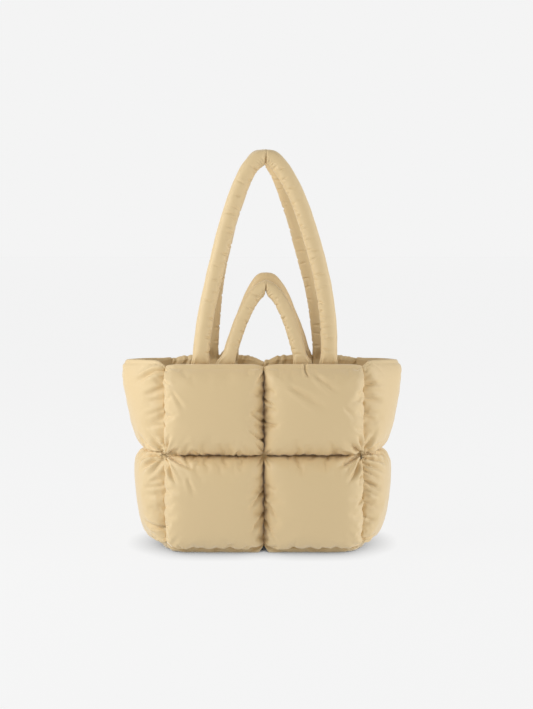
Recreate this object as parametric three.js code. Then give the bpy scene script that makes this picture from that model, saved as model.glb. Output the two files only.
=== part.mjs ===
// A quilted puffer tote bag in millimetres, +Z up, with its front face towards -Y and its right wing towards +X.
// The origin is on the floor, under the middle of the bag's outline.
// The body is fourteen stuffed cushions: two rows of two on the front and on the back, one column of two in each
// side gusset, which stands out as a wing, and two under the bag. Each long strap and each short handle is a padded
// tube whose two flattened ends are sewn to the hem band inside the rim.
import * as THREE from "three";

// The body, measured along its seams.
const BODY_WIDTH = 284; // between the front corner seams
const BODY_DEPTH = 140; // between the front and back foot seams
const FOOT_HEIGHT = 14; // the foot seams stand this far off the floor
const BODY_HEIGHT = 256; // from the foot seams up to the rim seam
const WING_REACH = 60; // how far the left gusset stands out past the corner seams at the rim
const CORNER_TURN = 0.4; // along a corner seam, how far cushions face sideways for each part forwards
const FOOT_TURN = 2.2; // along a foot seam, how far cushions face down for each part outwards

// The padding.
const SEAM_GAP = 0.6; // between two cushions that are sewn together
const SEAM_THICKNESS = 7; // of the flattened layers along a seam
const WALL_PUFF = 34; // how far a front or back cushion swells outwards
const LINING_PUFF = 7; // how far a cushion swells into the bag
const WING_PUFF = 11.5; // the upper gusset cushion, stretched over the wing's fold
const WING_LINING_PUFF = 15;
const BELLY_PUFF = 26; // the lower gusset cushion
const BASE_PUFF = 24; // before the floor flattens it
const RIM_ROLL = 6; // the rim's roll rises this far above the rim seam between two seams
const HEM_MARGIN = 7; // the flat hem band inside the rim runs this far below the straps' ends

// The straps and handles.
const STRAP_WIDTH = 24;
const STRAP_THICKNESS = 22;
const STRAP_FLARE = 0.08; // how much wider a flattened end is, as a share of the width
const HANDLE_WIDTH = 20;
const HANDLE_THICKNESS = 19;
const HANDLE_FLARE = 0.36;
const TAB_DEPTH = 20; // of the flattened end below the rim seam
const TAB_THICKNESS = 7;
const TAB_CLEARANCE = 0.5; // between a flattened end and the hem band
const STRAP_SPREAD = 93; // from the middle to a strap's ends
const STRAP_RISE = 305; // from the rim seam to the middle of the strap at its peak
const STRAP_LEAN = 5.6; // how far a leg leans to the right of an even arch
const STRAP_INSET = 26; // how far the peak leans over the bag from the strap's ends
const HANDLE_SPREAD = 57;
const HANDLE_RISE = 118;
const HANDLE_INSET = 15;
const BACK_STRAP_SPREAD = 87;
const BACK_STRAP_LEAN = 3;
const BACK_STRAP_RISE = 307;
const BACK_HANDLE_LEAN = 6;
const BACK_HANDLE_RISE = 125;

// The body's outline at its three rings of seams. height and depth are shares of the sizes above, left and right are
// the reach of the two gussets as shares of WING_REACH, and fold is the power that shapes a gusset in plan: 2 is a
// round bow and 1 a sharp fold.
const RINGS = [
  { ring: "foot", height: 0, depth: 1, left: 0.28, right: 0.2, fold: 2.4 },
  { ring: "waist", height: 0.505, depth: 0.97, left: 0.55, right: 0.475, fold: 2 },
  { ring: "rim", height: 1, depth: 0.89, left: 1, right: 0.88, fold: 1.4 },
];

// Rows of cushions: the share of the ring table that each spans.
const ROWS = { lower: [0, 0.5], upper: [0.5, 1] };

// How a cushion swells. fullness is the power of its profile from seam to seam, rim is the share of the puff that is
// left where the cushion rolls over the rim, and floor is the lowest that it hangs, as a share of FOOT_HEIGHT.
const SHAPES = {
  wall: { out: WALL_PUFF, in: LINING_PUFF, fullness: 2.8, rim: 0.34, floor: 0.72, steps: 10 },
  wing: { out: WING_PUFF, in: WING_LINING_PUFF, fullness: 2.6, rim: 0.3, floor: 0.72, steps: 10 },
  belly: { out: BELLY_PUFF, in: LINING_PUFF, fullness: 3, rim: 0, floor: 0.36, steps: 10 },
  base: { out: BASE_PUFF, in: LINING_PUFF, fullness: 3, rim: 0, floor: 0, steps: 8 },
};
const PROFILE_ROOT = 1.9;
const RIM_STEPS = 3; // through the thickness of a cushion that rolls over the rim
const RIM_ROLL_AT_SEAMS = 0.3; // of RIM_ROLL that is left at the ends of a cushion's rim

// Folds that run from a cushion's pinched corner towards its middle. across and up name the corner, length is the
// fold's share of the cushion, depth a share of its puff, and turn the share of a right angle from across to up.
const CORNER_FOLDS = [
  { across: -1, up: -1, turn: 0.42, length: 0.75, depth: 0.2 },
  { across: 1, up: -1, turn: 0.5, length: 0.7, depth: 0.2 },
  { across: -1, up: 1, turn: 0.5, length: 0.7, depth: 0.2 },
  { across: 1, up: 1, turn: 0.58, length: 0.65, depth: 0.16 },
];
const FOLD_WIDTH = 0.24; // of one fold, as a share of half a cushion

// A leg's route from the rim seam to the peak: side is a share of the spread, up of the rise and lean of the lean.
const STRAP_ROUTE = [
  { side: 1, up: 0, lean: 0.1 },
  { side: 1, up: 0.085, lean: 0.35 },
  { side: 0.961, up: 0.228, lean: 0.7 },
  { side: 0.88, up: 0.372, lean: 0.97 },
  { side: 0.773, up: 0.515, lean: 1 },
  { side: 0.646, up: 0.658, lean: 0.88 },
  { side: 0.488, up: 0.801, lean: 0.73 },
  { side: 0.385, up: 0.873, lean: 0.57 },
  { side: 0.255, up: 0.944, lean: 0.42 },
  { side: 0.135, up: 0.982, lean: 0.45 },
  { side: 0, up: 1, lean: 0.5 },
];
const BACK_STRAP_ROUTE = [
  { side: 1, up: 0, lean: 1.1 },
  { side: 0.977, up: 0.098, lean: 1.1 },
  { side: 0.916, up: 0.269, lean: 0.77 },
  { side: 0.852, up: 0.384, lean: 0.3 },
  { side: 0.771, up: 0.485, lean: -0.2 },
  { side: 0.684, up: 0.58, lean: -0.33 },
  { side: 0.58, up: 0.692, lean: -0.43 },
  { side: 0.448, up: 0.8, lean: -0.5 },
  { side: 0.31, up: 0.902, lean: -0.55 },
  { side: 0.19, up: 0.96, lean: -0.5 },
  { side: 0.1, up: 0.988, lean: -0.5 },
  { side: 0, up: 1, lean: -0.5 },
];
const HANDLE_ROUTE = [
  { side: 1, up: 0, lean: 0.05 },
  { side: 0.94, up: 0.08, lean: 0.12 },
  { side: 0.87, up: 0.195, lean: 0.2 },
  { side: 0.755, up: 0.38, lean: 0.3 },
  { side: 0.655, up: 0.525, lean: 0.37 },
  { side: 0.549, up: 0.647, lean: 0.42 },
  { side: 0.386, up: 0.805, lean: 0.48 },
  { side: 0.242, up: 0.898, lean: 0.5 },
  { side: 0, up: 1, lean: 0.5 },
];
const BACK_HANDLE_ROUTE = [
  { side: 1, up: 0, lean: 0.5 },
  { side: 0.96, up: 0.08, lean: 0.7 },
  { side: 0.9, up: 0.2, lean: 0.8 },
  { side: 0.755, up: 0.4, lean: 0.8 },
  { side: 0.59, up: 0.592, lean: 0.72 },
  { side: 0.425, up: 0.768, lean: 0.7 },
  { side: 0.225, up: 0.904, lean: 0.6 },
  { side: 0.1, up: 0.972, lean: 0.5 },
  { side: 0, up: 1, lean: 0.5 },
];

// A leg's section, counted in tab depths from the end of the tab, and near the peak back from the peak. width is a
// share of the tube's own and flare of its flare, thick goes from the tab to the full tube, and square is the power of
// the section's outline, 2 for an ellipse.
const ROOT_SECTIONS = [
  { tabs: 0, width: 1, flare: 1, thick: 0, square: 5 },
  { tabs: 1, width: 1, flare: 1, thick: 0, square: 5 },
  { tabs: 1.25, width: 1, flare: 0.75, thick: 0.25, square: 4 },
  { tabs: 2.1, width: 1, flare: 0, thick: 1, square: 2 },
];
const PEAK_SECTIONS = [
  { tabs: 1.4, width: 1, flare: 0, thick: 1, square: 2 },
  { tabs: 0.4, width: 1.03, flare: 0, thick: 1, square: 2.2 },
  { tabs: 0, width: 0.86, flare: 0, thick: 0.96, square: 2 },
];
const SECTION_SIDES = 12;
const MITRE_REACH = 0.8; // tab depths from the peak over which the sections turn into the peak's crease

// Where a leg's rings stand near its ends, in tab depths. Between them they are evenly spaced.
const ROOT_RINGS = [0, 0.5, 1, 1.12, 1.25, 1.5, 1.8, 2.1];
const PEAK_RINGS = [1.4, 0.8, 0.4, 0.15, 0];

const clamp = THREE.MathUtils.clamp;
const CORNER_FACING = new THREE.Vector2(CORNER_TURN, 1).normalize();

// The value of one column of the ring table at height share t, on the parabola through its three rings.
function atHeight(column, t) {
  const [foot, waist, rim] = RINGS.map((ring) => ring[column]);
  return foot * (1 - t) * (1 - 2 * t) + waist * 4 * t * (1 - t) + rim * t * (2 * t - 1);
}

const seamHeight = (t) => FOOT_HEIGHT + BODY_HEIGHT * atHeight("height", t);
const halfDepth = (t) => (BODY_DEPTH / 2) * atHeight("depth", t);
// How far the gusset of one side stands out past the corner seams, at share q of its depth from the middle.
const wingReach = (side, t, q) =>
  WING_REACH * atHeight(side, t) * (1 - Math.pow(Math.abs(q), atHeight("fold", t)));

// Each wall of the body: half its breadth, where its seam skin lies, with s from -1 to 1 across it as seen from
// outside, and the way its cushions face there.
const WALLS = {
  front: {
    half: BODY_WIDTH / 2,
    skin: (s, t) => [(BODY_WIDTH / 2) * s, -halfDepth(t), seamHeight(t)],
    facing: (s) => [aside(s, CORNER_FACING.x), -onward(s, CORNER_FACING.y)],
  },
  back: {
    half: BODY_WIDTH / 2,
    skin: (s, t) => [(-BODY_WIDTH / 2) * s, halfDepth(t), seamHeight(t)],
    facing: (s) => [-aside(s, CORNER_FACING.x), onward(s, CORNER_FACING.y)],
  },
  right: {
    half: BODY_DEPTH / 2,
    skin: (s, t) => [BODY_WIDTH / 2 + wingReach("right", t, s), halfDepth(t) * s, seamHeight(t)],
    facing: (s) => [onward(s, CORNER_FACING.x), aside(s, CORNER_FACING.y)],
  },
  left: {
    half: BODY_DEPTH / 2,
    skin: (s, t) => [-BODY_WIDTH / 2 - wingReach("left", t, s), -halfDepth(t) * s, seamHeight(t)],
    facing: (s) => [-onward(s, CORNER_FACING.x), -aside(s, CORNER_FACING.y)],
  },
};

// The two parts of a direction that turns near the edges of a panel: what it gains to the side, and what is left of
// its own way. Each comes to the given amount at the edge.
function aside(s, atEdge) {
  return Math.sign(s) * Math.pow(s, 4) * atEdge;
}

function onward(s, atEdge) {
  return 1 + Math.pow(s, 4) * (atEdge - 1);
}

// A wall cushion's outward direction, which turns down along its foot seam.
function wallDirection(wall, s, t) {
  const [x, y] = wall.facing(s);
  return new THREE.Vector3(x, y, -FOOT_TURN * Math.pow(1 - t, 9)).normalize();
}

// The base runs from t = 1 at the front to t = -1 at the back, and from s = -1 at the left to s = 1 at the right.
function basePoint(s, t) {
  const halfWidth = BODY_WIDTH / 2 + wingReach(s < 0 ? "left" : "right", 0, t);
  return new THREE.Vector3(s * halfWidth, -halfDepth(0) * t, FOOT_HEIGHT);
}

function baseDirection(s, t) {
  const x = aside(s, 1) * onward(t, CORNER_FACING.x);
  const y = -aside(t, 1) * onward(s, CORNER_FACING.y);
  return new THREE.Vector3(x, y, -FOOT_TURN).normalize();
}

// From 1 in the middle of a cushion to 0 at its seams, steep at the seams.
function swell(q, fullness) {
  return Math.pow(1 - Math.pow(clamp(Math.abs(q), 0, 1), fullness), 1 / PROFILE_ROOT);
}

// How much of the puff the folds take away at one place of a cushion, given from -1 to 1 across and up it.
function foldDepth(a, b) {
  let depth = 0;
  for (const fold of CORNER_FOLDS) {
    const angle = (fold.turn * Math.PI) / 2;
    const fromCorner = [(fold.across - a) * fold.across, (fold.up - b) * fold.up];
    const along = fromCorner[0] * Math.cos(angle) + fromCorner[1] * Math.sin(angle);
    const beside = fromCorner[1] * Math.cos(angle) - fromCorner[0] * Math.sin(angle);
    const run = clamp(1 - along / (2 * fold.length), 0, 1);
    depth += fold.depth * run * run * Math.exp(-Math.pow(beside / FOLD_WIDTH, 2));
  }
  return depth;
}

// A closed cushion from a subdivided block. place puts a point of the block, given from -1 to 1 across, up and out,
// on the bag. The block's rows are crowded towards the seams, where the cushion is steep.
function cushionGeometry(steps, edgeSteps, place) {
  const block = new THREE.BoxGeometry(2, 2, 2, steps, steps, edgeSteps);
  const position = block.getAttribute("position");
  const crowd = (q) => Math.sin((q * Math.PI) / 2);
  for (let i = 0; i < position.count; i += 1) {
    const point = place(crowd(position.getX(i)), crowd(position.getY(i)), position.getZ(i));
    position.setXYZ(i, point.x, point.y, point.z);
  }
  block.computeVertexNormals();
  return block;
}

// The place from low to high of q, which runs from -1 to 1. Both ends are drawn in by half of SEAM_GAP, where length is
// that of one unit.
function withinSeams(q, low, high, length) {
  const inset = SEAM_GAP / 2 / length;
  return THREE.MathUtils.mapLinear(q, -1, 1, low + inset, high - inset);
}

// A cushion of a wall or gusset: columns is its span of s, and row its span of the ring table.
function wallCushion(wall, columns, rowName, shape) {
  const [bottom, top] = ROWS[rowName];
  const atRim = rowName === "upper";
  const hemShare = (2 * (TAB_DEPTH + HEM_MARGIN)) / (seamHeight(top) - seamHeight(bottom));
  const place = (a, b, out) => {
    const s = withinSeams(a, columns[0], columns[1], wall.half);
    const t = withinSeams(b, bottom, top, BODY_HEIGHT);
    const point = new THREE.Vector3(...wall.skin(s, t));
    const across = swell(a, shape.fullness);
    let up = swell(b, shape.fullness);
    if (atRim && b > 0) up = shape.rim + (1 - shape.rim) * up;
    const puff = shape.out * across * up * (1 - foldDepth(a, b));
    // Inside, the puff ends at the hem band, which is flat.
    const belowHem = atRim ? clamp(-1 + (2 * (b + 1)) / (2 - hemShare), -1, 1) : b;
    const lining = shape.in * across * swell(belowHem, shape.fullness);
    const offset = (out * SEAM_THICKNESS) / 2 + ((1 + out) / 2) * puff - ((1 - out) / 2) * lining;
    point.addScaledVector(wallDirection(wall, s, t), offset);
    if (atRim && b === 1) {
      const roll = THREE.MathUtils.lerp(RIM_ROLL_AT_SEAMS, 1, across);
      point.z += RIM_ROLL * roll * (1 - out * out);
    }
    point.z = Math.max(point.z, shape.floor * FOOT_HEIGHT);
    return point;
  };
  return cushionGeometry(shape.steps, atRim ? RIM_STEPS : 1, place);
}

// A cushion under the bag. The floor flattens what would swell below it.
function baseCushion(columns, shape) {
  const place = (a, b, out) => {
    const s = withinSeams(a, columns[0], columns[1], BODY_WIDTH / 2);
    const t = withinSeams(b, -1, 1, BODY_DEPTH / 2);
    const middle = swell(a, shape.fullness) * swell(b, shape.fullness);
    const offset = (out * SEAM_THICKNESS) / 2 + middle * (out > 0 ? shape.out : -shape.in);
    const point = basePoint(s, t).addScaledVector(baseDirection(s, t), offset);
    point.z = Math.max(point.z, shape.floor * FOOT_HEIGHT);
    return point;
  };
  return cushionGeometry(shape.steps, 1, place);
}

// The middle line of one leg, from the end of its tab to the peak. side is -1 for the left leg and 1 for the right.
function legCurve(strap, side) {
  const hemFace = (t) => SEAM_THICKNESS / 2 + TAB_CLEARANCE + TAB_THICKNESS / 2 - halfDepth(t);
  const rimHeight = seamHeight(1);
  const tabEnd = (BODY_HEIGHT - TAB_DEPTH) / BODY_HEIGHT;
  const above = strap.route.map((row) => {
    const x = side * strap.spread * row.side + strap.lean * row.lean;
    return new THREE.Vector3(x, hemFace(1) + strap.inset * row.up, rimHeight + strap.rise * row.up);
  });
  const rootX = above[0].x;
  const tab = [0, 0.5].map((share) => {
    const t = THREE.MathUtils.lerp(tabEnd, 1, share);
    return new THREE.Vector3(rootX, hemFace(t), rimHeight - TAB_DEPTH * (1 - share));
  });
  return new THREE.CatmullRomCurve3([...tab, ...above], false, "centripetal");
}

// The section of a leg at a distance from its tab's end, between the rows of the two section tables.
function legSection(strap, distance, length) {
  const rows = [
    ...ROOT_SECTIONS.map((row) => ({ ...row, at: row.tabs * TAB_DEPTH })),
    ...PEAK_SECTIONS.map((row) => ({ ...row, at: length - row.tabs * TAB_DEPTH })),
  ];
  const next = clamp(rows.findIndex((row) => row.at >= distance), 1, rows.length - 1);
  const [low, high] = [rows[next - 1], rows[next]];
  const share = THREE.MathUtils.smoothstep(distance, low.at, high.at);
  const between = (column) => THREE.MathUtils.lerp(low[column], high[column], share);
  return {
    width: strap.width * (between("width") + strap.flare * between("flare")),
    thickness: THREE.MathUtils.lerp(TAB_THICKNESS, strap.thickness, between("thick")),
    square: between("square"),
  };
}

// A point of a section's outline, a circle that is squared off as its power rises from 2. Rounding takes off the
// last digits in which the cylinder's first and last columns differ.
function squareOff(x, y, power) {
  const flatten = (q) => Math.sign(q) * Math.pow(Math.abs(q), 2 / power);
  return [x, y].map((q) => flatten(Number(q.toFixed(6))));
}

// The rings of one leg, as shares of its length from the end of its tab to the peak.
function ringShares(strap, length) {
  const root = ROOT_RINGS.map((tabs) => (tabs * TAB_DEPTH) / length);
  const peak = PEAK_RINGS.map((tabs) => 1 - (tabs * TAB_DEPTH) / length);
  const between = Array.from({ length: strap.middleRings }, (_, i) =>
    THREE.MathUtils.lerp(root.at(-1), peak[0], (i + 1) / (strap.middleRings + 1)),
  );
  return [...root, ...between, ...peak];
}

// A padded tube that runs up one leg, over the peak and down the other, from a closed cylinder. Its rings stand
// square to the middle line, and turn upright at the peak, where the tube is folded over.
function strapGeometry(strap) {
  const rings = ROOT_RINGS.length + strap.middleRings + PEAK_RINGS.length - 1;
  const legs = [-1, 1].map((side) => legCurve(strap, side));
  const shares = legs.map((leg) => ringShares(strap, leg.getLength()));
  const tube = new THREE.CylinderGeometry(1, 1, 2 * rings, SECTION_SIDES, 2 * rings);
  const position = tube.getAttribute("position");
  for (let i = 0; i < position.count; i += 1) {
    const fromPeak = Math.round(position.getY(i));
    const way = fromPeak > 0 ? 1 : 0;
    const leg = legs[way];
    const share = shares[way][rings - Math.abs(fromPeak)];
    const length = leg.getLength();
    const middle = leg.getPointAt(share);
    const tangent = leg.getTangentAt(share).multiplyScalar(way === 1 ? -1 : 1);
    const turn = clamp(1 - ((1 - share) * length) / (MITRE_REACH * TAB_DEPTH), 0, 1);
    tangent.lerp(new THREE.Vector3(1, 0, 0), turn).normalize();
    const thickWay = new THREE.Vector3(0, 1, 0);
    thickWay.addScaledVector(tangent, -tangent.y).normalize();
    const wideWay = new THREE.Vector3().crossVectors(tangent, thickWay);
    const section = legSection(strap, share * length, length);
    const [wide, thick] = squareOff(position.getX(i), position.getZ(i), section.square);
    middle.addScaledVector(wideWay, (wide * section.width) / 2);
    middle.addScaledVector(thickWay, (thick * section.thickness) / 2);
    position.setXYZ(i, middle.x, middle.y, middle.z);
  }
  tube.computeVertexNormals();
  return tube;
}

const LONG_STRAP = {
  route: STRAP_ROUTE,
  spread: STRAP_SPREAD,
  rise: STRAP_RISE,
  inset: STRAP_INSET,
  width: STRAP_WIDTH,
  thickness: STRAP_THICKNESS,
  flare: STRAP_FLARE,
  lean: STRAP_LEAN,
  middleRings: 13,
};
const SHORT_HANDLE = {
  route: HANDLE_ROUTE,
  spread: HANDLE_SPREAD,
  rise: HANDLE_RISE,
  inset: HANDLE_INSET,
  width: HANDLE_WIDTH,
  thickness: HANDLE_THICKNESS,
  flare: HANDLE_FLARE,
  lean: STRAP_LEAN,
  middleRings: 4,
};
// The back group is turned half a turn about the upright, so a leg that leans to the right there is negative here.
const BACK_STRAP = {
  ...LONG_STRAP,
  route: BACK_STRAP_ROUTE,
  spread: BACK_STRAP_SPREAD,
  rise: BACK_STRAP_RISE,
  lean: -BACK_STRAP_LEAN,
};
const BACK_HANDLE = {
  ...SHORT_HANDLE,
  route: BACK_HANDLE_ROUTE,
  rise: BACK_HANDLE_RISE,
  lean: -BACK_HANDLE_LEAN,
};

const shell = new THREE.MeshStandardMaterial({ color: 0xd6bf92, roughness: 0.62, metalness: 0 });
const strapCloth = new THREE.MeshStandardMaterial({ color: 0xd8c195, roughness: 0.62, metalness: 0 });
const baseCloth = new THREE.MeshStandardMaterial({ color: 0xcdb486, roughness: 0.66, metalness: 0 });

function named(name, geometry, material) {
  const mesh = new THREE.Mesh(geometry, material);
  mesh.name = name;
  return mesh;
}

function wallCushions() {
  const group = new THREE.Group();
  const columns = { left: [-1, 0], right: [0, 1] };
  for (const row of Object.keys(ROWS)) {
    for (const face of ["front", "back"]) {
      for (const side of ["left", "right"]) {
        // left and right are the bag's own, as seen from the front.
        const span = face === "front" ? columns[side] : columns[side === "left" ? "right" : "left"];
        const geometry = wallCushion(WALLS[face], span, row, SHAPES.wall);
        group.add(named(`${face}_${row}_${side}_cushion`, geometry, shell));
      }
    }
    for (const side of ["left", "right"]) {
      const shape = row === "upper" ? SHAPES.wing : SHAPES.belly;
      const geometry = wallCushion(WALLS[side], [-1, 1], row, shape);
      group.add(named(`${side}_gusset_${row}_cushion`, geometry, shell));
    }
  }
  return group;
}

function baseCushions() {
  const group = new THREE.Group();
  group.add(named("base_left_cushion", baseCushion([-1, 0], SHAPES.base), baseCloth));
  group.add(named("base_right_cushion", baseCushion([0, 1], SHAPES.base), baseCloth));
  return group;
}

function straps() {
  const group = new THREE.Group();
  group.add(named("front_long_strap", strapGeometry(LONG_STRAP), strapCloth));
  group.add(named("front_short_handle", strapGeometry(SHORT_HANDLE), strapCloth));
  const back = new THREE.Group();
  back.rotation.z = Math.PI;
  back.add(named("back_long_strap", strapGeometry(BACK_STRAP), strapCloth));
  back.add(named("back_short_handle", strapGeometry(BACK_HANDLE), strapCloth));
  group.add(back);
  return group;
}

const bag = new THREE.Group();
bag.add(wallCushions(), baseCushions(), straps());
// The left wing stands out further than the right one, so the bag moves to keep its outline centred on the origin.
bag.position.x = (WING_REACH * (atHeight("left", 1) - atHeight("right", 1))) / 2;
export default bag;
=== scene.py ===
"""The looks of a quilted puffer tote bag in beige nylon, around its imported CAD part.

Metres, +Z up. The bag's front faces -Y and it stands on the floor at z = 0.
"""

import math

import bmesh
import bpy
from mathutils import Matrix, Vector, noise


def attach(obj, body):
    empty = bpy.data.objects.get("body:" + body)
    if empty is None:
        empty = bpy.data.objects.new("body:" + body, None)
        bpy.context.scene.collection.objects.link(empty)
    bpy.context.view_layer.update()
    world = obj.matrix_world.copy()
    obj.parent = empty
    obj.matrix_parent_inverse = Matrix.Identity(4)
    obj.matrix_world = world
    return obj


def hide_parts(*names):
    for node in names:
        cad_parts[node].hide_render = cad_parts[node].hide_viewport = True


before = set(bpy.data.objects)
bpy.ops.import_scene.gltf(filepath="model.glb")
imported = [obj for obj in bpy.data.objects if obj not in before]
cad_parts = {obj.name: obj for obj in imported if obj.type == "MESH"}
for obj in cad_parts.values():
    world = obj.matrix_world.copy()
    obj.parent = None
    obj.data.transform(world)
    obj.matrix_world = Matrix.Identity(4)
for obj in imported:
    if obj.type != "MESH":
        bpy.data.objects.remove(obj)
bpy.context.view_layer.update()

# The studio: white paper on the floor and behind, two softboxes at the left and a stronger one at the right. The paper
# shows as one even grey-white, with a narrow soft shadow close to the bag's foot that is painted into the floor's glow,
# and only a faint real shadow from the lights.
STUDIO_WHITE = "F4F4F4"
FLOOR_GLOW = 0.96  # the floor's own glow, where that of the wall is 1
FLOOR_GREY = 0.05  # the share of the lights that the floor gives back
# The shadow at the bag's foot is painted: the floor's glow is darkened where the bag stands close over it.
SHADOW_REACH = 0.035  # of the shadow around the bag's foot
SHADOW_FALLOFF = 0.31  # under 1, so that this shadow stays pale and turns dark only right under the bag
AIR_GLOW = 0.35  # the even light from all sides, between the softboxes
PAPER_REACH = 12
PAPER_TOP = 14
AIM_HEIGHT = 0.15  # where on the bag the softboxes point

scene = bpy.context.scene
scene.view_settings.view_transform = "Standard"


def linear(colour):
    """An sRGB hex colour as linear red, green, blue and alpha."""
    parts = [int(colour[i : i + 2], 16) / 255 for i in (0, 2, 4)]
    return (*[p / 12.92 if p <= 0.04045 else ((p + 0.055) / 1.055) ** 2.4 for p in parts], 1.0)


def add_node(material, kind, settings=None, links=None):
    """A new node of a material, with values for its properties or inputs and links from other nodes' outputs. An input
    goes by its name, or by its number where several have the same name."""
    node = material.node_tree.nodes.new(kind)
    for name, value in (settings or {}).items():
        if isinstance(name, int) or name in node.inputs:
            node.inputs[name].default_value = value
        else:
            setattr(node, name, value)
    for name, output in (links or {}).items():
        material.node_tree.links.new(output, node.inputs[name])
    return node


def add_sheet(name, corners, material):
    """A flat sheet of studio paper from its four corners."""
    shape = bmesh.new()
    shape.faces.new([shape.verts.new(corner) for corner in corners])
    mesh = bpy.data.meshes.new(name)
    shape.to_mesh(mesh)
    shape.free()
    mesh.materials.append(material)
    sheet = bpy.data.objects.new(name, mesh)
    scene.collection.objects.link(sheet)


def add_softbox(name, strength, azimuth, elevation, seen_width, distance):
    """A square softbox that is turned to the bag, with all angles in degrees. azimuth is 0 in front of the bag and 90
    at its right, and seen_width is how wide the softbox looks from the bag."""
    light = bpy.data.lights.new(name, "AREA")
    light.energy = strength * math.pi * distance**2
    light.size = 2 * distance * math.tan(math.radians(seen_width) / 2)
    lamp = bpy.data.objects.new(name, light)
    turn, rise = math.radians(azimuth), math.radians(elevation)
    toward = Vector((math.sin(turn) * math.cos(rise), -math.cos(turn) * math.cos(rise), math.sin(rise)))
    lamp.rotation_euler = toward.to_track_quat("Z", "Y").to_euler()
    lamp.location = toward * distance + Vector((0, 0, AIM_HEIGHT))
    lamp.visible_camera = False
    scene.collection.objects.link(lamp)


# Matt studio paper for the floor. It is drawn mostly by its own glow, so that it stays even under the softboxes, and
# the glow sinks where the bag stands close, which paints a soft shadow around its foot.
floor_paper = bpy.data.materials.new("matt_studio_paper_floor")
floor_paper.use_nodes = True
floor_paper.node_tree.nodes.clear()
# Painted shadow: ambient occlusion darkens the floor's glow near the bag.
open_air = add_node(floor_paper, "ShaderNodeAmbientOcclusion", {"samples": 8, "Distance": SHADOW_REACH})
shadow = add_node(
    floor_paper, "ShaderNodeMath", {"operation": "POWER", 1: SHADOW_FALLOFF}, {0: open_air.outputs["AO"]}
)
glow = add_node(floor_paper, "ShaderNodeMath", {"operation": "MULTIPLY", 1: FLOOR_GLOW}, {0: shadow.outputs[0]})
floor_glow = add_node(
    floor_paper, "ShaderNodeEmission", {"Color": linear(STUDIO_WHITE)}, {"Strength": glow.outputs[0]}
)
floor_matt = add_node(floor_paper, "ShaderNodeBsdfDiffuse", {"Color": (FLOOR_GREY, FLOOR_GREY, FLOOR_GREY, 1)})
floor_both = add_node(floor_paper, "ShaderNodeAddShader", links={0: floor_glow.outputs[0], 1: floor_matt.outputs[0]})
add_node(floor_paper, "ShaderNodeOutputMaterial", links={"Surface": floor_both.outputs[0]})

# The same paper behind the bag. It is so far off that nothing shades it, so it only glows.
wall_paper = bpy.data.materials.new("matt_studio_paper_wall")
wall_paper.use_nodes = True
wall_paper.node_tree.nodes.clear()
wall_glow = add_node(wall_paper, "ShaderNodeEmission", {"Color": linear(STUDIO_WHITE), "Strength": 1.0})
add_node(wall_paper, "ShaderNodeOutputMaterial", links={"Surface": wall_glow.outputs[0]})

floor_corners = [(x, y, 0) for x, y in ((-1, -1), (1, -1), (1, 1), (-1, 1))]
wall_corners = [(-PAPER_REACH, -1), (PAPER_REACH, -1), (PAPER_REACH, PAPER_TOP), (-PAPER_REACH, PAPER_TOP)]
add_sheet("studio_floor", [Vector(corner) * PAPER_REACH for corner in floor_corners], floor_paper)
add_sheet("studio_wall", [(x, PAPER_REACH, z) for x, z in wall_corners], wall_paper)

world = bpy.data.worlds.new("studio_air")
world.use_nodes = True
world.node_tree.nodes["Background"].inputs["Color"].default_value = (1, 1, 1, 1)
world.node_tree.nodes["Background"].inputs["Strength"].default_value = AIR_GLOW
scene.world = world

add_softbox("front_softbox", strength=1.05, azimuth=-58, elevation=25, seen_width=22, distance=1.3)
add_softbox("left_softbox", strength=0.98, azimuth=-85, elevation=25, seen_width=30, distance=2.5)
add_softbox("right_softbox", strength=1.65, azimuth=77, elevation=16, seen_width=40, distance=2.5)

# The photograph's own view: level with the handles, two metres away and tipped a little downwards.
camera = bpy.data.objects.new("camera", bpy.data.cameras.new("camera"))
camera.location = (0.0074, -2.2, 0.5065)
camera.rotation_euler = (math.radians(84.2), 0, 0)
camera.data.sensor_width = 36
camera.data.lens = 75.25
scene.collection.objects.link(camera)
scene.camera = camera


# The front wall: four square cushions in two rows, quilted by a cross of seams. Each is two panels of nylon taffeta,
# sewn together all round and stuffed plump, so that it stands out with steep sides and puckers along its seams.
MM = 0.001
MIDDLE_X = 3.6 * MM  # the corner seams are centred here, because the left wing stands out further
BODY_WIDTH = 284 * MM  # from corner seam to corner seam
BODY_DEPTH = 140 * MM  # between the front's and the back's seams, at the foot
BODY_HEIGHT = 256 * MM  # from the foot seam to the rim
FOOT_HEIGHT = 14 * MM  # of the foot seam, around the base
WING_REACH = 60 * MM
SEAM_THICKNESS = 4 * MM
RIM_ROLL = 6 * MM  # how far the rim's edge rolls up
HEM_BAND = 27 * MM  # the flat band inside the rim
CORNER_WAY = Vector((0.4, 1)).normalized()  # aside and forwards: where the cushions' sides face at a corner seam
FOOT_TURN = 1.1  # how far the cushions' sides turn down at the foot seam
FOOT_TURN_POWER = 9  # how close to the foot seam they turn
FOOT_WAY = Vector((0.28, 1)).normalized()  # forwards and down: the way past the seam surface at the foot
# At the foot, the waist and the rim: shares of the height, of the depth and of the wings' reach, and the power of the
# wings' fold, which is a sharp edge at 1 and a round belly above it.
RINGS = {
    "height": (0, 0.505, 1),
    "depth": (1, 0.97, 0.89),
    "left": (0.28, 0.55, 1),
    "right": (0.2, 0.475, 0.88),
    "fold": (2.4, 2, 1.4),
}
ROWS = {"lower": (0, 0.5), "upper": (0.5, 1)}


def at_height(column, t):
    """A column of the ring table at height share t, on the parabola through foot, waist and rim."""
    foot, waist, rim = RINGS[column]
    return foot * (1 - t) * (1 - 2 * t) + waist * 4 * t * (1 - t) + rim * t * (2 * t - 1)


def seam_height(t):
    return FOOT_HEIGHT + BODY_HEIGHT * at_height("height", t)


def half_depth(t):
    return BODY_DEPTH / 2 * at_height("depth", t)


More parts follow.
